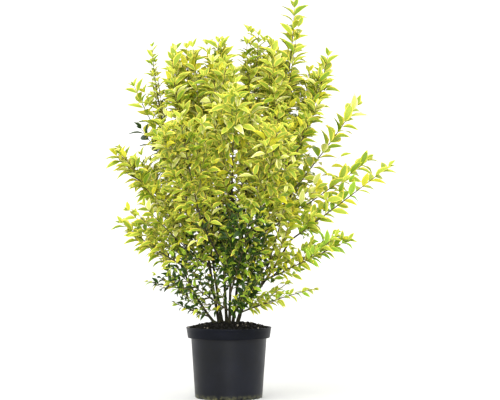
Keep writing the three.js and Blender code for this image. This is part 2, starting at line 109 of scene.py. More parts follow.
# Soil
SOIL_EDGE = POT_HEIGHT - 6
SOIL_CROWN = POT_HEIGHT + 9
SOIL_RADIUS = 109
SOIL_PROFILE = [(0, SOIL_CROWN), (46, SOIL_CROWN), (82, SOIL_CROWN - 4.5), (SOIL_RADIUS, SOIL_EDGE)]
SOIL_RINGS = 70
SOIL_SEGMENTS = 180
LUMP_SIZE = 11
LUMP_HEIGHT = 4.6
LUMP_LAYERS = (0.9, 2.1, 4)  # how fast finer lumps fade, how much finer each layer is, and the layers
LUMP_FADE = 8  # how near to the wall the lumps get lower, down to a share of their height at it
EDGE_LUMPS = 0.25
CRUMBS = 1500
CRUMB_SIZES = (0.9, 3.4)
CRUMB_STRETCHES = (0.6, 1.4)
CRUMB_JAGS = (0.75, 1.25)
CRUMB_RISE = 0.3  # how far a crumb's middle is above the soil, as a share of its size
CRUMB_GAP = 3  # between the crumbs and the soil's edge
PALE_CRUMB_SHARE = 0.035

# Wood, as in the source of the solids
GROUND = SOIL_CROWN + 0.3
FLARE = 1.5
FLARE_HEIGHT = 16
TAPER_POWER = 0.8
SHOOT_SHARE = 0.9
SHOOT_UPTURN = 0.05

# Bark: ridges run along a limb, and old pairs of leaves have left rings on it
BARK_SIDES = 22
BARK_STEP = 4
RIDGE_HEIGHT = 0.32
RIDGE_LENGTH = 40
RIDGE_DENSITY = 3.1
BUMP_HEIGHT = 0.5
BUMP_LENGTH = 14
BUMP_SHIFT = (9, 3)  # keeps the bumps from matching the ridges
SCAR_SPACING = 43
SCAR_HEIGHT = 0.5
SCAR_WIDTH = 2.2
SCAR_REST = 0.4  # how high a ring is between its two leaves, as a share of that height
FULL_RELIEF_RADIUS = 5  # a thinner limb has less relief, down to the least share
LEAST_RELIEF = 0.35

# Shoots and twigs, thinner than in the solids
SHOOT_RADIUS = 2.4
SHOOT_TIP_RADIUS = 0.7
TWIG_RADII = (1.2, 0.5)
TWIGLET_RADII = (0.9, 0.4)
ROD_STEP = 14
SHOOT_SIDES = 7
TWIG_SIDES = 5

# Growth, by the rule in the source of the solids but with leaves of real size and finer twigs
LAST_LEAF = 26  # how far a shoot's last leaves reach past it
NODE_SPACING = 22
BUSHY_SPACING = 18.5
BUSHY_GIRTH = 66
TWIG_SPACING = 20.5
FIRST_NODE = 0.06
LAST_NODE = 0.96
TWIG_ANGLE = 58
TWIG_STEP = 2  # a bushy shoot has twigs at every second node, and a slim one at every third
SLIM_TWIG_STEP = 3
LAST_TWIG = 0.8  # as a share of a bushy shoot, and of a slim one
SLIM_LAST_TWIG = 0.35
TWIG_SPREADS = (0.95, 0.55)  # a twig's swing out, as a share of its room, from a shoot's foot to its tip
SLIM_SPREAD = 0.6
TWIG_SPREAD_RANGE = (0.5, 1.1)
TWIG_RUN_RANGE = (0.4, 0.9)  # how far it then runs beside the shoot, as a share of what is left of that
TWIG_RISE = 1 / 3  # how far it turns up as it runs
TWIG_LEAF_ROOM = 24
TWIG_TRIES = (1, 0.75, 0.5, 0.33)
LONG_TWIG = 90  # a twig longer than this forks again
TWIGLET_SPREAD = 26
TWIGLET_RUN = 24
LEAF_TRIES = ((0, 1), (0.5, 0.9), (-0.5, 0.9), (0, 0.7))  # turn in radians and size, until one fits
VARIATION = 0.3
TURN_VARIATION = 0.6
MINGLE = 0.4  # how far a spray's leaves may cross into the next one's space, in girths
WOOD_GAP = 1  # between a leaf or twig and the limbs
LINE_STEPS = 8
SEED_STEP = 7919

# Twigs on the end of the limb under a bushy shoot: over what length, how far apart, and how long they are
FOOT_STRETCH = 100
FOOT_SPACING = 24
FOOT_SPREADS = (26, 58)
FOOT_RUNS = (24, 50)

# Leaves
LEAF_LENGTH = 47
LEAF_WIDTH_SHARE = 0.38
LEAF_ANGLES = (50, 38)  # from the foot of a shoot to its tip
LEAF_ROLL = 56  # degrees of a leaf's turn about its midrib, from the least to the most
LEAF_FACING = 0.35  # how much a leaf's upper face looks away from the plant's axis, against 1 for up
LIGHT = np.array([-0.1, -0.5, 1.0])  # the way that most of a leaf's light comes from
FRONT_LIGHT = np.array([0, -0.8, 1.0])  # the same for sprays that are lit more from the front
LEAF_SIZES = (0.93, 1.04)  # from the foot of a shoot to its tip
TWIG_LEAF_SIZE = 0.95
TWIG_END_SIZE = 1.03
END_LEAVES = ((0, 26, 0.62), (math.pi / 2, 14, 0.42))  # turn, degrees from the shoot and size of each pair
LEAF_OUTLINE = ((0, 0), (0.07, 0.08), (0.2, 0.56), (0.4, 0.97), (0.62, 0.9), (0.84, 0.46), (1, 0))
LEAF_COLUMNS = (-1, -0.68, 0, 0.68, 1)
MARGIN_WAVE = 0.14
LEAF_HALVES = (0.44, 0.56)  # each leaf's half width, as a share of its full width
LEAF_TWIST = 0.25
LEAF_FOLDS = (0.25, 0.7)  # rise of the blade's edge over its half width, from the least to the most
LEAF_DROOPS = (0.2, 0.6)  # fall of the tip, as a share of the leaf's length
DROOP_PULL = 0.3  # how much of the droop also draws the tip back
LEAF_PROBE = 0.6  # where along a leaf it is tested against the limbs

GREEN_HEIGHT = 510  # sprays that end lower are in the shade and stay green
FRONT_LIT_HEIGHT = 880  # sprays that end higher are lit more from the front

# A place's exposure is its height, plus OUTWARD times its reach, plus RIGHT_SHARE of how far right it is.
# In the reach, the distance to the front or back counts by FRONT_SHARE. Leaf tints follow the exposure:
# low, inner leaves are tinted darker, as painted shade, and high, outer, right ones paler, as painted light.
OUTWARD = 1.2
FRONT_SHARE = 0.45
RIGHT_SHARE = 0.3
MIX_EXPOSURES = (500, 590, 1350)  # where each tint's three shares hold
GROWTH_EXPOSURES = (540, 850)  # where leaves have the least of their growth, and the whole of it
LEAF_GROWTH = (0.77, 1)

# Places are (azimuth, reach, height): degrees from +X towards +Y, then millimetres from the pot's axis and
# above its underside. Each stem has a foot on the ground, a tip, its radii at them, and an upturn.
STEMS = {
    "stem_left": ((175, 25), (173, 89, 690), (4.1, 2.6), 0.03),
    "stem_far_left": ((204, 38), (193, 128, 349), (3.4, 2.2), 0.08),
    "stem_middle": ((130, 9), (135, 28, 700), (3.8, 2.6), 0.02),
    "stem_rear": ((70, 30), (64, 117, 690), (3.8, 2.6), 0.05),
    "stem_back_left": ((118, 38), (116, 150, 560), (3.6, 2.5), 0.06),
    "stem_right": ((-5, 22), (9, 133, 700), (4.7, 2.7), 0.04),
    "stem_front": ((-86, 27), (-85, 115, 560), (3.6, 2.5), 0.06),
}

# Each bough has the limb that it grows on, a share of that limb's length, a tip, its radii, and an upturn
BOUGHS = {
    "bough_upper_left": ("stem_left", 0.55, (178, 166, 690), (2.5, 2), 0.07),
    "bough_left_arm": ("stem_left", 0.38, (189, 162, 488), (2.7, 2.1), 0.08),
    "bough_far_right": ("stem_right", 0.07, (-9, 162, 412), (3.6, 2.5), 0.06),
    "bough_upper_right": ("stem_right", 0.62, (-5, 178, 640), (2.5, 2), 0.06),
    "bough_right": ("stem_right", 0.42, (10, 173, 545), (2.7, 2.1), 0.07),
    "bough_low_right": ("bough_far_right", 0.45, (-16, 144, 340), (2.3, 1.8), 0.06),
    "bough_front_left": ("stem_front", 0.35, (-115, 165, 470), (2.5, 2), 0.08),
    "bough_front_right": ("stem_front", 0.42, (-61, 166, 490), (2.5, 2), 0.08),
    "bough_middle_front": ("stem_middle", 0.5, (-117, 67, 650), (2.5, 2), 0.05),
    "bough_rear_right": ("stem_rear", 0.35, (47, 198, 490), (2.5, 2), 0.08),
    "bough_rear_left": ("stem_back_left", 0.4, (143, 192, 450), (2.5, 2), 0.08),
}

# Each spray stands for one mass of foliage. It has the limb that its shoot leaves, a share of that limb's
# length, a tip, and a girth, which is how far its twigs and leaves may reach from the shoot. "leaf" sizes
# its leaves, as in the source of the solids, "resize" fits that to this finer foliage, and "twigs" is the
# share of the shoot that bears twigs.
SPRAYS = {
    "spray_top_left": ("stem_left", 1, (172, 114, 950), 70, {"twigs": 0.7}),
    "spray_left_shoulder": ("stem_left", 0.86, (191, 156, 914), 68, {"twigs": 0.7}),
    "spray_left_front": ("stem_left", 0.42, (214, 200, 712), 90, {}),
    "spray_left_spire": (
        "bough_upper_left", 1, (180, 206, 952), 54, {"leaf": 0.8, "resize": 0.75, "twigs": 0.4},
    ),
    "spray_left_upper": ("bough_upper_left", 0.75, (184, 260, 842), 56, {}),
    "spray_left_back": ("bough_upper_left", 0.5, (173, 250, 732), 58, {}),
    "spray_left_arm": ("bough_left_arm", 1, (186, 308, 662), 70, {"twigs": 0.9}),
    "spray_left_skirt": ("stem_left", 0.3, (195, 242, 522), 84, {"twigs": 0.45}),
    "spray_far_left": ("stem_far_left", 1, (187, 299, 474), 74, {"twigs": 0.6}),
    "spray_low_left": ("stem_far_left", 0.6, (184, 236, 312), 60, {"leaf": 0.75, "twigs": 0.8}),
    "spray_foot_left": ("stem_far_left", 0.14, (202, 172, 262), 52, {"leaf": 0.6}),
    "spray_top_middle": ("stem_middle", 1, (146, 33, 966), 82, {}),
    "spray_upper_front": ("bough_middle_front", 1, (-93, 106, 880), 88, {}),
    "spray_upper_rear": ("stem_middle", 0.7, (117, 140, 890), 84, {"twigs": 0.95}),
    "spray_top_rear": ("stem_rear", 1, (54, 136, 998), 84, {"twigs": 0.65}),
    "spray_rear_right": ("bough_rear_right", 1, (60, 285, 680), 92, {"twigs": 0.65}),
    "spray_rear": ("stem_rear", 0.6, (73, 262, 750), 92, {}),
    "spray_back_left": ("stem_back_left", 1, (120, 240, 820), 92, {}),
    "spray_rear_left": ("bough_rear_left", 1, (143, 300, 650), 92, {}),
    "spray_rear_skirt": ("stem_back_left", 0.4, (98, 245, 500), 90, {}),
    "spray_leader": ("stem_right", 1, (8, 177, 1060), 54, {"leaf": 1.1, "resize": 1.07}),
    "spray_second_leader": ("stem_right", 0.85, (-14, 108, 952), 72, {}),
    "spray_right_shoulder": ("bough_upper_right", 0.6, (12, 222, 890), 60, {"twigs": 0.4}),
    "spray_right_spire": ("bough_upper_right", 1, (-4, 268, 924), 60, {"twigs": 0.75}),
    "spray_right_upper": (
        "bough_right", 1, (5, 356, 794), 56, {"leaf": 1.15, "resize": 1.06, "twigs": 0, "upturn": 0.02},
    ),
    "spray_right_reach": (
        "bough_right", 0.3, (4, 390, 640), 56, {"leaf": 1.1, "resize": 1.06, "twigs": 0.15, "upturn": 0.02},
    ),
    "spray_right_back": ("bough_right", 0.65, (42, 262, 722), 80, {"twigs": 0.25}),
    "spray_right_front": ("stem_right", 0.5, (-38, 165, 770), 84, {}),
    "spray_far_right": ("bough_far_right", 1, (-4, 440, 622), 56, {"twigs": 0.25, "upturn": 0.01}),
    "spray_right_skirt": ("bough_far_right", 0.35, (-40, 200, 548), 78, {"twigs": 0.45}),
    "spray_low_right": (
        "bough_low_right", 0.2, (-8, 338, 424), 60, {"leaf": 1.2, "resize": 0.82, "twigs": 0.8, "upturn": 0},
    ),
    "spray_foot_right": (
        "stem_right", 0.06, (-12, 252, 292), 52, {"leaf": 0.85, "twigs": 0.4, "upturn": -0.04},
    ),
    "spray_front": ("stem_front", 1, (-86, 225, 800), 92, {}),
    "spray_front_right": ("bough_front_right", 1, (-62, 270, 705), 92, {}),
    "spray_front_left": ("bough_front_left", 1, (-118, 258, 742), 92, {}),
    "spray_front_skirt": ("stem_front", 0.22, (-74, 225, 490), 90, {"leaf": 0.85, "twigs": 0.95}),
    "spray_middle_front": ("stem_middle", 0.3, (-104, 142, 595), 90, {"twigs": 0.95}),
    "spray_middle_rear": ("stem_rear", 0.15, (76, 120, 570), 92, {"twigs": 0.95}),
    "spray_low_front_left": ("stem_front", 0.1, (-146, 190, 354), 86, {"leaf": 0.68}),
    "spray_low_front_right": ("stem_front", 0.06, (-57, 180, 338), 76, {"leaf": 0.64}),
}

# Leaf tints: the colours of the margin and of the blade inside it, how common each is from the shaded foot
# to the crown's top, and how common on the young green sprays at the lower right. Shaded leaves are greener,
# but the darkest tint's depth of colour is painted shade, and the palest tint, at the top, painted light.
LEAF_TINTS = {
    "pale": {"margin": "f0eaa6", "blade": "cad06a", "mix": (0, 8, 15), "young": 0},
    "gold": {"margin": "d6cc32", "blade": "b4b62a", "mix": (2, 6, 10), "young": 4},
    "edged": {"margin": "e1d352", "blade": "8fa430", "mix": (4, 48, 46), "young": 24},
    "lime": {"margin": "ded858", "blade": "a6b63a", "mix": (2, 28, 30), "young": 36},
    "olive": {"margin": "b6be34", "blade": "728e20", "mix": (12, 18, 12), "young": 6},
    "deep_green_painted_shade": {"margin": "3c561b", "blade": "233a0e", "mix": (68, 0, 0), "young": 0},
    "bright": {"margin": "b4cc48", "blade": "85a82c", "mix": (12, 0, 0), "young": 30},
}
YOUNG_SPRAYS = ("spray_low_right", "spray_foot_right", "spray_far_right")
SHADE_TINTED_SPRAYS = ("spray_left_back", "spray_front_skirt")  # their leaves take the shade's tints: greener, and darker as painted shade
FRONT_LIT_SPRAYS = (
    *YOUNG_SPRAYS, "spray_right_reach", "spray_right_upper", "spray_left_skirt", "spray_far_left",
)

# Other colours. A plain one is what shows where a material's nodes aren't read.
# the pot's dark and light tones mix in broad patches: uneven plastic, strong enough to be painted reflections
POT_COLOURS = {"plain": "0b0c0f", "dark": "06080d", "light": "0f121d", "smear": "5c5c3e", "speck": "4b4a46"}
SOIL_COLOURS = {"plain": "140f0a", "moist": "080805", "dried": "14120b", "fibre": "2a2619"}
BARK_COLOURS = {"plain": "3a3024", "groove": "12110b", "ridge": "393623", "moss": "434a29", "pore": "7c715c"}
TWIG_COLOURS = {"shoot": "46402a", "twig": "6c6238", "tip": "86883e"}
SHOOT_SLOT, TWIG_SLOT, TWIGLET_SLOT = range(len(TWIG_COLOURS))
CRUMB_COLOURS = {"dark": "0d0b08", "brown": "16130c", "pale": "8c8474"}
PALE_SLOT = len(CRUMB_COLOURS) - 1
FLOOR_COLOUR = "e0e0de"

UP = np.array([0.0, 0.0, 1.0])


# Numbers and places


def lerp(start, end, share):
    return start + (end - start) * share


def unit(vector):
    return vector / np.linalg.norm(vector, axis=-1, keepdims=True)


def place(azimuth, reach, height):
    """The point at a direction in degrees, a distance from the pot's axis and a height."""
    angle = math.radians(azimuth)
    return np.array([reach * math.cos(angle), reach * math.sin(angle), height])


def linear(colour):
    """A hex colour's three channels, as linear light."""
    channels = [int(colour[i : i + 2], 16) / 255 for i in (0, 2, 4)]
    return [c / 12.92 if c <= 0.04045 else ((c + 0.055) / 1.055) ** 2.4 for c in channels]


def square_to(direction):
    """Two directions square to a line and to each other."""
    reference = np.array([1.0, 0, 0]) if abs(direction[2]) > 0.9 else UP
    side = unit(np.cross(reference, direction))
    return side, unit(np.cross(side, direction))


class Curve:
    """A quadratic curve drawn from three corners, as the source's limbs and shoots are."""

    def __init__(self, start, middle, end):
        self.corners = (start, middle, end)
        line = self.points(np.linspace(0, 1, LINE_STEPS + 1))
        self.length = np.linalg.norm(np.diff(line, axis=0), axis=1).sum()

    def points(self, shares):
        start, middle, end = self.corners
        t = np.asarray(shares, float)[..., None]
        return (1 - t) ** 2 * start + 2 * t * (1 - t) * middle + t**2 * end

    def tangents(self, shares):
        start, middle, end = self.corners
        t = np.asarray(shares, float)[..., None]
        return unit((1 - t) * (middle - start) + t * (end - middle))


def rising(start, end, upturn):
    """A curve that bulges outwards and down, so that it leaves flat and ends steep."""
    chord = end - start
    length = np.linalg.norm(chord)
    along = chord / length
    outward = unit(np.array([end[0], end[1], 0]))
    bulge = unit(outward - along * outward.dot(along))
    return Curve(start, start + chord / 2 + bulge * upturn * length, end)


def cut_short(curve, length):
    """The same curve without the given length at its end."""
    share = 1 - length / curve.length
    start, middle, _ = curve.corners
    return Curve(start, lerp(start, middle, share), curve.points(share))


# Meshes and materials


class Shapes:
    """Gathers many small shapes, each with its own material slots, for one joined mesh."""

    def __init__(self):
        self.vertices = []
        self.faces = []
        self.slots = []
        self.count = 0

    def add(self, vertices, faces, slots):
        self.vertices.append(vertices)
        self.faces.extend([corner + self.count for corner in face] for face in faces)
        self.slots.extend(slots)
        self.count += len(vertices)

    def mesh_object(self, name, materials):
        mesh = bpy.data.meshes.new(name)
        mesh.from_pydata((np.concatenate(self.vertices) * MM).tolist(), [], self.faces)
        for material in materials:
            mesh.materials.append(material)
        mesh.polygons.foreach_set("material_index", np.array(self.slots, np.int32))
        mesh.polygons.foreach_set("use_smooth", np.ones(len(self.faces), bool))
        mesh.update()
        made = bpy.data.objects.new(name, mesh)
        bpy.context.scene.collection.objects.link(made)
        return made


def grid_faces(rows, columns, closed):
    """The four-cornered faces of a grid of points, closed round its columns or open."""
    strips = columns if closed else columns - 1
    row, column = np.meshgrid(np.arange(rows - 1), np.arange(strips), indexing="ij")
    after = (column + 1) % columns
    corners = [row * columns + column, row * columns + after]
    corners += [(row + 1) * columns + after, (row + 1) * columns + column]
    return np.stack(corners, axis=-1).reshape(-1, 4).tolist()


def aimed(name, data, eye, target):
    """A lamp or camera that stands at one place and looks at another."""
    made = bpy.data.objects.new(name, data)
    made.location = eye
    made.rotation_euler = (Vector(target) - Vector(eye)).to_track_quat("-Z", "Y").to_euler()
    bpy.context.scene.collection.objects.link(made)
    return made


def present(piece, slot, *nodes):
    """Makes a piece ride on the plant's only body, in place of its nodes."""
    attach(piece, ROOT)
    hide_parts(*nodes)


def plain_material(name, colour, roughness, specular):
    material = bpy.data.materials.new(name)
    material.use_nodes = True
    shader = material.node_tree.nodes["Principled BSDF"]
    shader.inputs["Base Color"].default_value = (*linear(colour), 1)
    shader.inputs["Roughness"].default_value = roughness
    shader.inputs["Specular IOR Level"].default_value = specular
    return material


def plain_materials(prefix, colours, surface):
    """A material for each named colour, all with the same surface."""
    return [plain_material(prefix + name, colour, *surface) for name, colour in colours.items()]


class Painter:
    """Adds the nodes of one procedural material."""

    def __init__(self, name, colour, roughness, specular):
        self.material = plain_material(name, colour, roughness, specular)
        self.tree = self.material.node_tree
        self.shader = self.tree.nodes["Principled BSDF"]
        self.place = self.tree.nodes.new("ShaderNodeTexCoord").outputs["Object"]

    def link(self, output, node, socket):
        self.tree.links.new(output, node.inputs[socket])

    def stretched(self, scale):
        mapping = self.tree.nodes.new("ShaderNodeMapping")
        mapping.inputs["Scale"].default_value = scale
        self.link(self.place, mapping, "Vector")
        return mapping.outputs["Vector"]

    def noise(self, scale, detail, rough=0.55, place=None):
        node = self.tree.nodes.new("ShaderNodeTexNoise")
        node.inputs["Scale"].default_value = scale
        node.inputs["Detail"].default_value = detail
        node.inputs["Roughness"].default_value = rough
        self.link(place or self.place, node, "Vector")
        return node.outputs["Fac"]

    def height(self):
        node = self.tree.nodes.new("ShaderNodeSeparateXYZ")
        self.link(self.place, node, "Vector")
        return node.outputs["Z"]

    def ranged(self, value, source, target):
        node = self.tree.nodes.new("ShaderNodeMapRange")
        for socket, number in zip(("From Min", "From Max", "To Min", "To Max"), (*source, *target)):
            node.inputs[socket].default_value = number
        self.link(value, node, "Value")
        return node.outputs["Result"]

    def product(self, first, second):
        node = self.tree.nodes.new("ShaderNodeMath")
        node.operation = "MULTIPLY"
        self.link(first, node, 0)
        self.link(second, node, 1)
        return node.outputs["Value"]

    def mixed(self, share, first, second):
        """A mix of two colours, each a hex value or another node's colour."""
        node = self.tree.nodes.new("ShaderNodeMix")
        node.data_type = "RGBA"
        self.link(share, node, "Factor")
        for socket, colour in ((6, first), (7, second)):
            if isinstance(colour, str):
                node.inputs[socket].default_value = (*linear(colour), 1)
            else:
                self.link(colour, node, socket)
        return node.outputs[2]

    def bump(self, height, strength, distance, below=None):
        node = self.tree.nodes.new("ShaderNodeBump")
        node.inputs["Strength"].default_value = strength
        node.inputs["Distance"].default_value = distance
        self.link(height, node, "Height")
        if below:
            self.link(below, node, "Normal")
        return node.outputs["Normal"]

    def finish(self, colour, roughness, normal):
        self.link(colour, self.shader, "Base Color")
        self.link(roughness, self.shader, "Roughness")
        self.link(normal, self.shader, "Normal")
        return self.material


# Pot


def pot_material(name, specular):
    """Black plastic with a satin sheen, specked with dust, and smeared with dried soil at its foot."""
    paint = Painter(name, POT_COLOURS["plain"], 0.34, specular)
    # broad patches of darker and lighter plastic: uneven tone, made strong enough to be painted reflections
    reflection_cloud = paint.ranged(paint.noise(scale=9, detail=5), (0.35, 0.7), (0, 1))
    body = paint.mixed(reflection_cloud, POT_COLOURS["dark"], POT_COLOURS["light"])
    foot = paint.ranged(paint.height(), (0.002, 0.014), (1, 0))
    smear = paint.ranged(paint.noise(scale=90, detail=6, rough=0.75), (0.4, 0.6), (0, 1))
    smeared = paint.mixed(paint.product(foot, smear), body, POT_COLOURS["smear"])
    specks = paint.ranged(paint.noise(scale=420, detail=2), (0.7, 0.8), (0, 0.35))
    colour = paint.mixed(specks, smeared, POT_COLOURS["speck"])
    roughness = paint.ranged(paint.noise(scale=22, detail=5), (0.3, 0.7), (0.3, 0.46))
    streaks = paint.noise(scale=60, detail=3, rough=0.5, place=paint.stretched((1, 1, 0.06)))
    grain = paint.bump(paint.noise(scale=700, detail=2), strength=0.12, distance=0.0004)
    normal = paint.bump(streaks, strength=0.1, distance=0.0008, below=grain)
    return paint.finish(colour, roughness, normal)


def rounded(corners):
    """A profile of [radius, height] points with an arc of the third number's size at each corner."""
    points = []
    for i, (radius, height, arc) in enumerate(corners):
        corner = np.array([radius, height], float)
        if arc == 0:
            points.append(corner)
            continue
        before = unit(np.array(corners[i - 1][:2], float) - corner) * arc
        after = unit(np.array(corners[i + 1][:2], float) - corner) * arc
        for share in np.linspace(0, 1, ARC_STEPS):
            points.append(corner + (1 - share) ** 2 * before + share**2 * after)
    return np.array(points)


def pot_profile():
    """From the middle of the underside, up the outside, over the rim and down the inside."""
    body_ledge, rim_ledge = LEDGE_ARCS
    outside = [
        (0, 0, 0),
        (DRAIN_INNER_RADIUS - 0.5, 0, 0),
        (DRAIN_INNER_RADIUS + 0.5, 0, 0),
        (BODY_FOOT_RADIUS - 5, 0, 0),
        (BODY_FOOT_RADIUS, 0, FOOT_ARC),
        (BODY_FOOT_RADIUS + 0.4, 5, 0),
        (BODY_TOP_RADIUS, POT_LEDGE, body_ledge),
        (RIM_FOOT_RADIUS - 0.4, POT_LEDGE, rim_ledge),
        (RIM_RADIUS - LIP_STAND, POT_HEIGHT - 4, 0),
        (RIM_RADIUS, POT_HEIGHT - LIP_DEPTH, 0.6),
        (RIM_RADIUS, POT_HEIGHT, 1.3),
    ]
    inside = [
        (RIM_RADIUS - POT_WALL, POT_HEIGHT, 1),
        (RIM_FOOT_RADIUS - POT_WALL, POT_LEDGE + POT_WALL, 0),
        (BODY_TOP_RADIUS - POT_WALL, POT_LEDGE + POT_WALL - 2.5, 0),
        (BODY_FOOT_RADIUS - POT_WALL, POT_FLOOR, 0),
        (0, POT_FLOOR, 0),
    ]
    return rounded(outside + inside)


def in_short_steps(profile):
    """The same profile with points added along its long straight stretches."""
    points = [profile[0]]
    for start, end in zip(profile, profile[1:]):
        pieces = max(1, round(np.linalg.norm(end - start) / POT_STEP))
        points += [lerp(start, end, (i + 1) / pieces) for i in range(pieces)]
    return np.array(points)


def slot_lift(angles):
    """How far the foot is lifted at each angle, for the drain slots."""
    half = DRAIN_WIDTH / 2 / BODY_FOOT_RADIUS
    spacing = 2 * math.pi / DRAIN_SLOTS
    from_slot = (angles - math.radians(DRAIN_TURN) + spacing / 2) % spacing - spacing / 2
    return DRAIN_HEIGHT * np.clip((half - np.abs(from_slot)) * BODY_FOOT_RADIUS + 0.5, 0, 1)


def build_pot():
    profile = in_short_steps(pot_profile())
    angles = np.linspace(0, 2 * math.pi, POT_SEGMENTS, endpoint=False)
    radius = profile[:, 0, None] + 0 * angles
    height = profile[:, 1, None] + 0 * angles
    outside = np.arange(len(profile))[:, None] < len(profile) / 2
    foot = outside & (height < DRAIN_HEIGHT) & (radius > DRAIN_INNER_RADIUS)
    height = np.where(foot, np.maximum(height, slot_lift(angles)), height)
    sway = sum(size * np.sin(count * angles + height / lean) for size, count, lean in POT_SWAYS)
    walls = np.clip((height - SWAY_FOOT) / SWAY_GROWTH, 0, 1) * (radius > SWAY_RADIUS)
    radius = radius + sway * walls * np.clip((POT_HEIGHT - height) / SWAY_END, 0, 1)
    points = np.stack([radius * np.cos(angles), radius * np.sin(angles), height], axis=-1)
    shapes = Shapes()
    faces = grid_faces(len(profile), POT_SEGMENTS, closed=True)
    heights = height.reshape(-1)
    in_rim = [int(min(heights[corner] for corner in face) > POT_LEDGE - 1) for face in faces]
    shapes.add(points.reshape(-1, 3), faces, in_rim)
    # the rim's duller copy of the plastic makes it darker: painted shade
    materials = [pot_material("pot_plastic", BODY_SHINE), pot_material("rim_plastic_painted_shade", RIM_SHADED_SHINE)]
    pot = shapes.mesh_object("pot_shell", materials)
    present(pot, "pot", "pot")


# Soil


def soil_material():
    """Dark moist compost, browner where it has dried, with paler fibres."""
    paint = Painter("compost", SOIL_COLOURS["plain"], 0.92, 0.1)
    dried = paint.ranged(paint.noise(scale=60, detail=6, rough=0.7), (0.4, 0.7), (0, 1))
    earth = paint.mixed(dried, SOIL_COLOURS["moist"], SOIL_COLOURS["dried"])
    fibres = paint.ranged(paint.noise(scale=260, detail=3, rough=0.6), (0.62, 0.74), (0, 0.6))
    colour = paint.mixed(fibres, earth, SOIL_COLOURS["fibre"])
    roughness = paint.ranged(paint.noise(scale=120, detail=3), (0.3, 0.7), (0.78, 1))
    coarse = paint.bump(paint.noise(scale=230, detail=6, rough=0.75), strength=0.9, distance=0.004)
    normal = paint.bump(paint.noise(scale=900, detail=3), strength=0.6, distance=0.001, below=coarse)
    return paint.finish(colour, roughness, normal)


def soil_height(x, y):
    reach = math.hypot(x, y)
    radii, heights = zip(*SOIL_PROFILE)
    lumps = noise.fractal(Vector((x, y, 0)) / LUMP_SIZE, *LUMP_LAYERS)
    share = min(1, (SOIL_RADIUS - reach) / LUMP_FADE + EDGE_LUMPS)
    return np.interp(reach, radii, heights) + lumps * LUMP_HEIGHT * share


def build_soil():
    points = []
    for ring in range(SOIL_RINGS):
        reach = SOIL_RADIUS * (ring + 0.5) / (SOIL_RINGS - 0.5)
        for i in range(SOIL_SEGMENTS):
            angle = 2 * math.pi * i / SOIL_SEGMENTS
            x, y = reach * math.cos(angle), reach * math.sin(angle)
            points.append((x, y, soil_height(x, y)))
    shapes = Shapes()
    faces = grid_faces(SOIL_RINGS, SOIL_SEGMENTS, closed=True)
    shapes.add(np.array(points), faces, [0] * len(faces))
    surface = shapes.mesh_object("soil_surface", [soil_material()])
    present(surface, "soil", "soil")


def crumb_template():
    """The corners and faces of a twenty-sided ball."""
    golden = (1 + 5**0.5) / 2
    corners = []
    for a in (-1, 1):
        for b in (-golden, golden):
            corners += [(0, a, b), (a, b, 0), (b, 0, a)]
    corners = unit(np.array(corners, float))
    gaps = np.linalg.norm(corners[:, None] - corners, axis=-1)
    edge = gaps[gaps > 0].min() * 1.01  # a little over the length of an edge
    faces = []
    for a, b, c in itertools.combinations(range(len(corners)), 3):
        if max(gaps[a, b], gaps[b, c], gaps[a, c]) > edge:
            continue
        outward = np.linalg.det(corners[[a, b, c]]) > 0
        faces.append((a, b, c) if outward else (a, c, b))
    return corners, faces


def build_crumbs():
    """Crumbs of compost, bits of bark and a few pale specks, flat-faced and scattered over the soil."""
    stream = random.Random(SEED_STEP)
    corners, faces = crumb_template()
    shapes = Shapes()
    edge = SOIL_RADIUS - CRUMB_GAP
    for _ in range(CRUMBS):
        angle = stream.uniform(0, 2 * math.pi)
        reach = edge * math.sqrt(stream.random())
        x, y = reach * math.cos(angle), reach * math.sin(angle)
        size = lerp(*CRUMB_SIZES, stream.random() ** 2)
        stretch = np.array([stream.uniform(*CRUMB_STRETCHES) for _ in range(3)])
        jagged = np.array([[stream.uniform(*CRUMB_JAGS)] for _ in corners])
        pale = stream.random() < PALE_CRUMB_SHARE
        slot = PALE_SLOT if pale else stream.randrange(PALE_SLOT)
        middle = np.array([x, y, soil_height(x, y) + size * CRUMB_RISE])
        shapes.add(middle + corners * jagged * stretch * size, faces, [slot] * len(faces))
    materials = plain_materials("crumb_", CRUMB_COLOURS, CRUMB_SURFACE)
    crumbs = shapes.mesh_object("soil_crumbs", materials)
    for polygon in crumbs.data.polygons:
        polygon.use_smooth = False
    present(crumbs, "soil", "soil")


# Stems and boughs


def bark_material():
    """Grey-brown bark with fine lengthwise streaks, pale pores and a green film in places."""
    paint = Painter("bark", BARK_COLOURS["plain"], 0.85, 0.2)
    lines = paint.noise(scale=420, detail=5, rough=0.6, place=paint.stretched((1, 1, 0.1)))
    streaks = paint.ranged(lines, (0.35, 0.68), (0, 1))
    wood = paint.mixed(streaks, BARK_COLOURS["groove"], BARK_COLOURS["ridge"])
    film = paint.ranged(paint.noise(scale=30, detail=4), (0.5, 0.75), (0, 0.5))
    mossy = paint.mixed(film, wood, BARK_COLOURS["moss"])
    dots = paint.noise(scale=650, detail=1, rough=0.4, place=paint.stretched((1, 1, 0.7)))
    pores = paint.ranged(dots, (0.68, 0.76), (0, 0.8))
    colour = paint.mixed(pores, mossy, BARK_COLOURS["pore"])
    roughness = paint.ranged(streaks, (0, 1), (0.72, 0.95))
    fine = paint.bump(pores, strength=0.5, distance=0.0006)
    normal = paint.bump(streaks, strength=0.7, distance=0.0009, below=fine)
    return paint.finish(colour, roughness, normal)


def ring_frames(curve, shares):
    """The middle of each ring of a tube, and the two directions across it."""
    fixed, _ = square_to(unit(curve.corners[2] - curve.corners[0]))
    tangents = curve.tangents(shares)
    side = unit(fixed - tangents * (tangents @ fixed)[:, None])
    return curve.points(shares), side, np.cross(side, tangents)


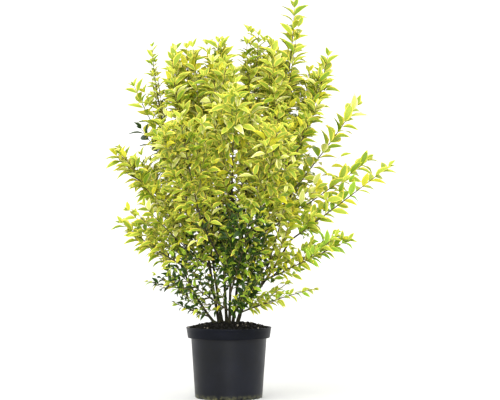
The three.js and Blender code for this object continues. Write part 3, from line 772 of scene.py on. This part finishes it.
def tube(curve, steps, sides, radii):
    """The corners and faces of a round rod with a closed end. It has a radius for each ring or corner."""
    shares = np.linspace(0, 1, steps + 1)
    middles, side, face = ring_frames(curve, shares)
    angles = np.linspace(0, 2 * math.pi, sides, endpoint=False)
    spokes = np.cos(angles)[:, None] * side[:, None] + np.sin(angles)[:, None] * face[:, None]
    radii = np.broadcast_to(np.reshape(radii, (steps + 1, -1)), (steps + 1, sides))
    points = middles[:, None] + spokes * radii[..., None]
    end = list(range(sides * steps, sides * (steps + 1)))
    return points.reshape(-1, 3), [*grid_faces(steps + 1, sides, closed=True), end]


class Limb:
    """A stem or a bough: its curve, how thick it is at each share of its length, and its bark."""

    def __init__(self, name, curve, radii, flare):
        self.name = name
        self.curve = curve
        self.radii = radii
        self.flare = flare

    def radius(self, share):
        foot, tip = self.radii
        swell = self.flare * np.exp(-share * self.curve.length / FLARE_HEIGHT)
        return lerp(tip, foot, (1 - share) ** TAPER_POWER) + swell

    def relief(self, distance, angle):
        """How far the bark stands out: ridges, bumps, and a ring at each old pair of leaves."""
        x, y = math.cos(angle), math.sin(angle)
        shift_x, shift_y = BUMP_SHIFT
        ridge = noise.noise(Vector((x, y, distance / RIDGE_LENGTH)) * RIDGE_DENSITY) * RIDGE_HEIGHT
        bump = noise.noise(Vector((x + shift_x, y + shift_y, distance / BUMP_LENGTH))) * BUMP_HEIGHT
        from_scar = (distance + SCAR_SPACING / 2) % SCAR_SPACING - SCAR_SPACING / 2
        pair = abs(math.cos(angle + math.pi / 2 * round(distance / SCAR_SPACING)))
        scar = SCAR_HEIGHT * math.exp(-((from_scar / SCAR_WIDTH) ** 2)) * (SCAR_REST + pair)
        return ridge + bump + scar

    def build(self, material):
        steps = round(self.curve.length / BARK_STEP)
        shares = np.linspace(0, 1, steps + 1)
        angles = np.linspace(0, 2 * math.pi, BARK_SIDES, endpoint=False)
        thick = np.array([self.radius(share) for share in shares])
        relief = [[self.relief(share * self.curve.length, a) for a in angles] for share in shares]
        scale = np.clip(thick / FULL_RELIEF_RADIUS, LEAST_RELIEF, 1)
        radii = thick[:, None] + np.array(relief) * scale[:, None]
        points, faces = tube(self.curve, steps, BARK_SIDES, radii)
        shapes = Shapes()
        shapes.add(points, faces, [0] * len(faces))
        present(shapes.mesh_object(self.name + "_bark", [material]), "bark", self.name)


def make_limbs():
    limbs = {}
    for name, (foot, tip, radii, upturn) in STEMS.items():
        curve = rising(place(*foot, GROUND - FLARE), place(*tip), upturn)
        limbs[name] = Limb(name, curve, radii, FLARE)
    for name, (parent, share, tip, radii, upturn) in BOUGHS.items():
        start = limbs[parent].curve.points(share)
        limbs[name] = Limb(name, rising(start, place(*tip), upturn), radii, 0)
    return limbs


# Leaves


def leaf_template():
    """Shares along and across a leaf for each corner, its faces, and which of them are inside the margin."""
    inner = LEAF_OUTLINE[1:-1]
    along = [0.0] + [a for a, _ in inner for _ in LEAF_COLUMNS] + [1.0]
    width = [0.0] + [w for _, w in inner for _ in LEAF_COLUMNS] + [0.0]
    across = [0.0] + list(LEAF_COLUMNS) * len(inner) + [0.0]
    columns = len(LEAF_COLUMNS)
    faces = [(0, i + 2, i + 1) for i in range(columns - 1)]
    inner_column = [i not in (0, columns - 2) for i in range(columns - 1)]
    is_inner = list(inner_column)
    for row in range(len(inner) - 1):
        for i in range(columns - 1):
            corner = 1 + row * columns + i
            faces.append((corner, corner + 1, corner + 1 + columns, corner + columns))
        is_inner += inner_column
    last = 1 + (len(inner) - 1) * columns
    for i in range(columns - 1):
        faces.append((last + i, last + i + 1, last + columns))
        is_inner.append(False)
    return np.array(along), np.array(width), np.array(across), faces, is_inner


LEAF_ALONG, LEAF_WIDTHS, LEAF_ACROSS, LEAF_FACES, LEAF_INNER = leaf_template()


def leaf_points(base, direction, normal, length, stream):
    """The corners of one leaf: folded along its midrib, with an uneven margin and its tip bent down."""
    side = np.cross(normal, direction)
    fold = lerp(*LEAF_FOLDS, stream.random())
    droop = lerp(*LEAF_DROOPS, stream.random())
    twist = stream.uniform(-LEAF_TWIST, LEAF_TWIST)
    half_width = LEAF_WIDTHS * length * LEAF_WIDTH_SHARE * stream.uniform(*LEAF_HALVES)
    inner = (np.abs(LEAF_ACROSS) > 0) & (np.abs(LEAF_ACROSS) < 1)
    wave = np.array([stream.uniform(-MARGIN_WAVE, MARGIN_WAVE) for _ in LEAF_ACROSS])
    across = (LEAF_ACROSS + inner * wave) * half_width
    rise = np.abs(across) * fold - droop * length * LEAF_ALONG**2 + across * twist * LEAF_ALONG
    bent = LEAF_ALONG * length * (1 - DROOP_PULL * droop * LEAF_ALONG)
    return base + bent[:, None] * direction + across[:, None] * side + rise[:, None] * normal


# Sprays


class Space:
    """The room of each spray: what is within its girth and nearer to it, in girths, than to the others."""

    def __init__(self, sprays, limbs):
        steps = np.linspace(0, 1, LINE_STEPS + 1)
        lines = np.array([spray.curve.points(steps) for spray in sprays])
        self.starts, self.ways = lines[:, :-1], np.diff(lines, axis=1)
        self.girths = np.array([spray.girth for spray in sprays])
        wood = np.array([limb.curve.points(steps) for limb in limbs.values()])
        self.wood_starts, self.wood_ways = wood[:, :-1], np.diff(wood, axis=1)
        self.wood_radii = np.array([limb.radius(steps[:-1]) for limb in limbs.values()])

    @staticmethod
    def distances(point, starts, ways):
        """How far a point is from each straight piece of some lines."""
        to_point = point - starts
        shares = np.clip((to_point * ways).sum(-1) / (ways**2).sum(-1), 0, 1)
        return np.linalg.norm(to_point - shares[..., None] * ways, axis=-1)

    def owns(self, index, point):
        remoteness = self.distances(point, self.starts, self.ways).min(axis=1) / self.girths
        own = remoteness[index]
        rivals = np.delete(remoteness, index)
        return own < 1 and rivals.min() > own - MINGLE

    def clears_wood(self, point):
        return (self.distances(point, self.wood_starts, self.wood_ways) > self.wood_radii + WOOD_GAP).all()


def exposure(point):
    """How far up and out a point is, and so how much light it gets."""
    return point[2] + OUTWARD * math.hypot(point[0], FRONT_SHARE * point[1]) + RIGHT_SHARE * max(point[0], 0)


def sideways(tangent, turn, angle):
    """The way that a side growth leaves its twig."""
    side, face = square_to(tangent)
    away = side * math.cos(turn) + face * math.sin(turn)
    return tangent * math.cos(angle) + away * math.sin(angle)


def facing_light(base, direction, light):
    """The way that a leaf's upper face looks: to the light, and out from the plant's axis."""
    outward = np.array([base[0], base[1], 0]) / max(math.hypot(base[0], base[1]), 1)
    wanted = light + outward * LEAF_FACING
    return unit(wanted - direction * wanted.dot(direction))


def turned_about(vector, axis, angle):
    """A vector turned by an angle about an axis."""
    return (
        vector * math.cos(angle)
        + np.cross(axis, vector) * math.sin(angle)
        + axis * axis.dot(vector) * (1 - math.cos(angle))
    )


class Spray:
    """One mass of foliage: a shoot with its twigs and leaves, grown by a seeded rule in its own space."""

    def __init__(self, index, name, row, limbs):
        limb_name, at, tip, girth, options = row
        parent = limbs[limb_name]
        self.index = index
        self.name = name
        self.girth = girth
        self.bushy = girth >= BUSHY_GIRTH
        self.leaf_size = options.get("leaf", 1) * options.get("resize", 1)
        self.last_twig = options.get("twigs", LAST_TWIG if self.bushy else SLIM_LAST_TWIG)
        height = tip[2]
        self.green = height < GREEN_HEIGHT
        front_lit = name in FRONT_LIT_SPRAYS or height > FRONT_LIT_HEIGHT
        self.light = FRONT_LIGHT if front_lit else LIGHT
        whole = rising(parent.curve.points(at), place(*tip), options.get("upturn", SHOOT_UPTURN))
        self.curve = cut_short(whole, LAST_LEAF)
        # A bushy shoot that grows on from its limb's end has twigs on that end too
        self.limb = parent.curve if at == 1 and self.bushy else None
        thinner = SHOOT_SHARE * parent.radius(at)
        self.radius = parent.radius(1) if at == 1 else min(thinner, SHOOT_RADIUS)
        self.stream = random.Random(SEED_STEP * (index + 1))
        self.leaves = Shapes()
        self.twigs = Shapes()

    def varied(self, value):
        return value * (1 + (self.stream.random() - 0.5) * VARIATION)

    def mix(self, point):
        """How common each tint is on the twig or node at a point."""
        # less exposed places get darker tints, as painted shade, and more exposed ones paler, as painted
        # light
        if self.name in YOUNG_SPRAYS:
            return [tint["young"] for tint in LEAF_TINTS.values()]
        if self.name in SHADE_TINTED_SPRAYS:
            return [tint["mix"][0] for tint in LEAF_TINTS.values()]
        return [np.interp(exposure(point), MIX_EXPOSURES, tint["mix"]) for tint in LEAF_TINTS.values()]

    def add_leaf(self, curve, share, turn, angle, size, mix):
        base = curve.points(share)
        tangent = curve.tangents(share)
        roll = math.radians(LEAF_ROLL) * (self.stream.random() - 0.5)
        full = LEAF_LENGTH * size * self.leaf_size * np.interp(exposure(base), GROWTH_EXPOSURES, LEAF_GROWTH)
        for swing, smaller in LEAF_TRIES:
            direction = sideways(tangent, turn + swing, math.radians(angle))
            length = full * smaller
            tip = base + direction * length
            probe = lerp(base, tip, LEAF_PROBE)
            if not (self.space.owns(self.index, tip) and self.space.clears_wood(probe)):
                continue
            normal = turned_about(facing_light(base, direction, self.light), direction, roll)
            points = leaf_points(base, direction, normal, length, self.stream)
            tint = self.stream.choices(range(len(mix)), mix)[0]
            self.leaves.add(points, LEAF_FACES, [2 * tint + inner for inner in LEAF_INNER])
            return

    def add_pair(self, curve, share, turn, size, mix):
        angle = lerp(*LEAF_ANGLES, share)
        for half in (0, math.pi):
            self.add_leaf(curve, share, turn + half, self.varied(angle), self.varied(size), mix)

    def add_end(self, curve, turn, size, mix):
        for quarter, angle, smaller in END_LEAVES:
            for half in (0, math.pi):
                self.add_leaf(curve, 1, turn + quarter + half, self.varied(angle), size * smaller, mix)

    def add_rod(self, curve, radii, sides, slot):
        steps = max(3, round(curve.length / ROD_STEP))
        points, faces = tube(curve, steps, sides, np.linspace(*radii, steps + 1))
        self.twigs.add(points, faces, [slot] * len(faces))

    def add_twig(self, parent, share, turn, spread, run, is_twiglet):
        """A twig that swings out and runs beside its parent, shorter until it fits, and forks if long."""
        start = parent.points(share)
        along = parent.tangents(share)
        direction = sideways(along, turn, math.radians(self.varied(TWIG_ANGLE)))
        for shorter in TWIG_TRIES:
            bend = start + direction * spread * shorter
            end = bend + unit(along + UP * TWIG_RISE) * run * shorter
            if not (self.space.owns(self.index, end) and self.space.clears_wood(end)):
                continue
            curve = Curve(start, bend, end)
            mix = self.mix(lerp(bend, end, 0.5))
            radii = TWIGLET_RADII if is_twiglet else TWIG_RADII
            self.add_rod(curve, radii, TWIG_SIDES, TWIGLET_SLOT if is_twiglet else TWIG_SLOT)
            nodes = max(1, round(curve.length / TWIG_SPACING) - 1)
            for i in range(nodes):
                at = (i + 1) / (nodes + 1)
                spin = turn + (i + 1) * math.pi / 2
                if curve.length > LONG_TWIG and i == 1 and not is_twiglet:
                    for half in (0, math.pi):
                        self.add_twig(curve, at, spin + half, TWIGLET_SPREAD, TWIGLET_RUN, True)
                self.add_pair(curve, at, spin, TWIG_LEAF_SIZE, mix)
            self.add_end(curve, turn, TWIG_END_SIZE, mix)
            return

    def add_twig_pair(self, share, turn):
        room = (self.girth - TWIG_LEAF_ROOM) * (1 if self.bushy else SLIM_SPREAD)
        rest = self.curve.length * (1 - share)
        for half in (0, math.pi):
            spread = room * lerp(*TWIG_SPREADS, share) * lerp(*TWIG_SPREAD_RANGE, self.stream.random())
            run = rest * lerp(*TWIG_RUN_RANGE, self.stream.random())
            self.add_twig(self.curve, share, turn + half, spread, run, False)

    def add_foot_twigs(self):
        """Short twigs on the last of the limb that the shoot grows on from."""
        nodes = round(FOOT_STRETCH / FOOT_SPACING)
        for i in range(nodes):
            share = 1 - (i + 0.5) * FOOT_SPACING / self.limb.length
            turn = self.stream.random() * math.pi
            for half in (0, math.pi):
                spread = lerp(*FOOT_SPREADS, self.stream.random())
                run = lerp(*FOOT_RUNS, self.stream.random())
                self.add_twig(self.limb, share, turn + half, spread, run, False)

    def grow(self, space):
        self.space = space
        self.add_rod(self.curve, (self.radius, SHOOT_TIP_RADIUS), SHOOT_SIDES, SHOOT_SLOT)
        close = self.bushy or self.leaf_size > 1
        spacing = (BUSHY_SPACING if close else NODE_SPACING) * min(self.leaf_size, 1)
        twig_step = TWIG_STEP if self.bushy else SLIM_TWIG_STEP
        nodes = round(self.curve.length * LAST_NODE / spacing)
        start = self.stream.random() * math.pi
        for i in range(nodes):
            share = lerp(FIRST_NODE, LAST_NODE, (i + 0.5) / nodes)
            turn = start + i * math.pi / 2 + (self.stream.random() - 0.5) * TURN_VARIATION
            if i % twig_step == 0 and share < self.last_twig:
                self.add_twig_pair(share, turn)
            mix = self.mix(self.curve.points(share))
            self.add_pair(self.curve, share, turn, lerp(*LEAF_SIZES, share), mix)
        self.add_end(self.curve, start, 1, self.mix(self.curve.points(1)))
        if self.limb:
            self.add_foot_twigs()

    def build(self, leaf_materials, twig_materials):
        leaves = self.leaves.mesh_object(self.name + "_leaves", leaf_materials)
        present(leaves, "foliage_green" if self.green else "foliage_golden", self.name)
        twigs = self.twigs.mesh_object(self.name + "_twigs", twig_materials)
        present(twigs, "bark", self.name)


def leaf_materials():
    made = []
    for name, tint in LEAF_TINTS.items():
        made.append(plain_material("leaf_margin_" + name, tint["margin"], *MARGIN_SURFACE))
        made.append(plain_material("leaf_blade_" + name, tint["blade"], *BLADE_SURFACE))
    return made


def build_plant():
    bark = bark_material()
    limbs = make_limbs()
    for limb in limbs.values():
        limb.build(bark)
    sprays = [Spray(i, name, row, limbs) for i, (name, row) in enumerate(SPRAYS.items())]
    space = Space(sprays, limbs)
    tints = leaf_materials()
    twig_tints = plain_materials("twig_", TWIG_COLOURS, TWIG_SURFACE)
    for spray in sprays:
        spray.grow(space)
        spray.build(tints, twig_tints)


# Studio


def build_floor():
    mesh = bpy.data.meshes.new("floor")
    mesh.from_pydata(FLOOR_CORNERS, [], [(0, 1, 2, 3)])
    mesh.materials.append(plain_material("floor_paint", FLOOR_COLOUR, *FLOOR_SURFACE))
    floor = bpy.data.objects.new("floor", mesh)
    bpy.context.scene.collection.objects.link(floor)


def build_sun():
    """A wide soft lamp, as even over the floor as daylight."""
    light = bpy.data.lights.new("key", "SUN")
    light.energy = SUN_STRENGTH
    light.angle = math.radians(SUN_ANGLE)
    aimed("key", light, SUN_PLACE, LAMP_TARGET)


def build_strip():
    """A tall narrow soft box behind the camera, which shows as a pale band up the pot."""
    light = bpy.data.lights.new("strip", "AREA")
    light.shape = "RECTANGLE"
    light.size, light.size_y = STRIP_SIZE
    light.energy = STRIP_POWER
    aimed("strip", light, STRIP_PLACE, LAMP_TARGET)


def build_world():
    """A plain white surround, which lights the plant from every side."""
    scene = bpy.context.scene
    world = bpy.data.worlds.new("studio")
    world.use_nodes = True
    background = world.node_tree.nodes["Background"]
    background.inputs["Color"].default_value = (1, 1, 1, 1)
    background.inputs["Strength"].default_value = WORLD_STRENGTH
    scene.world = world
    scene.view_settings.view_transform = "Standard"


def build_camera():
    camera = bpy.data.cameras.new("camera")
    eye, target = Vector(EYE) * MM, Vector(TARGET) * MM
    camera.sensor_width = SENSOR_WIDTH
    camera.lens = SENSOR_WIDTH * (target - eye).length / (IMAGE_WIDTH * MM_PER_PIXEL * MM)
    bpy.context.scene.camera = aimed("camera", camera, eye, target)


build_camera()
build_pot()
build_soil()
build_crumbs()
build_plant()
build_floor()
build_world()
build_sun()
build_strip()
